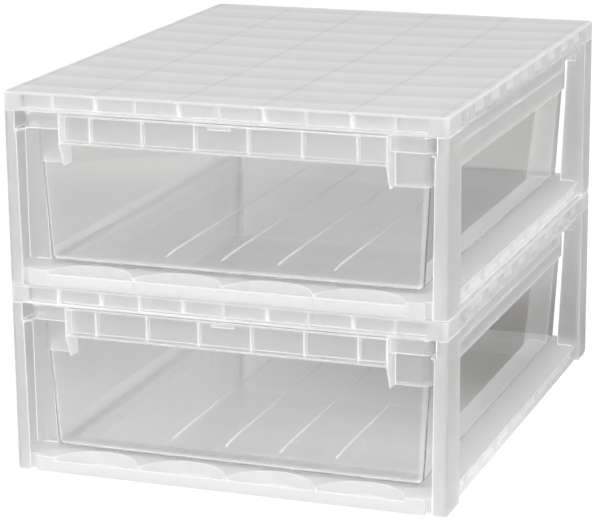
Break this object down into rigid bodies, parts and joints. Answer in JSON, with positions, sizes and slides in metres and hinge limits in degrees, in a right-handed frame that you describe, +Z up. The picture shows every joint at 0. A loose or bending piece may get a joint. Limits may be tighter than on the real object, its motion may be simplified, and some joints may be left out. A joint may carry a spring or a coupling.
{
  "type": "stackable drawer box",
  "caption": "Stack of drawer boxes for crafts and parts: frosted snap-together casings, open at the sides and back, each with a clear sliding drawer and a ribbed pull lip.",
  "frame": {"origin": "middle of the stack's footprint, on the surface it stands on", "axes": "+X to the right, +Y to the back (the drawers open towards -Y), +Z up"},
  "size_m": [0.39, 0.492, 0.3353],
  "materials": {
    "frosted_plastic": "frosted, satin",
    "clear_plastic": "polished clear, frosted rim"
  },
  "bodies": {
    "lower_casing": {"lower_base_frame": "frosted_plastic", "lower_left_side": "frosted_plastic", "lower_right_side": "frosted_plastic", "lower_top_panel": "frosted_plastic"},
    "lower_drawer_body": {"lower_drawer": "clear_plastic"},
    "upper_casing": {"upper_base_frame": "frosted_plastic", "upper_left_side": "frosted_plastic", "upper_right_side": "frosted_plastic", "upper_top_panel": "frosted_plastic"},
    "upper_drawer_body": {"upper_drawer": "clear_plastic"}
  },
  "joints": [
    {"name": "lower_drawer_slide", "type": "slide", "parent": "lower_casing", "child": "lower_drawer_body", "axis": [0, -1, 0], "range_m": [0, 0.4]},
    {"name": "upper_unit_lift", "type": "slide", "parent": "lower_casing", "child": "upper_casing", "axis": [0, 0, 1], "range_m": [0, 0.15]},
    {"name": "upper_drawer_slide", "type": "slide", "parent": "upper_casing", "child": "upper_drawer_body", "axis": [0, -1, 0], "range_m": [0, 0.4]}
  ]
}
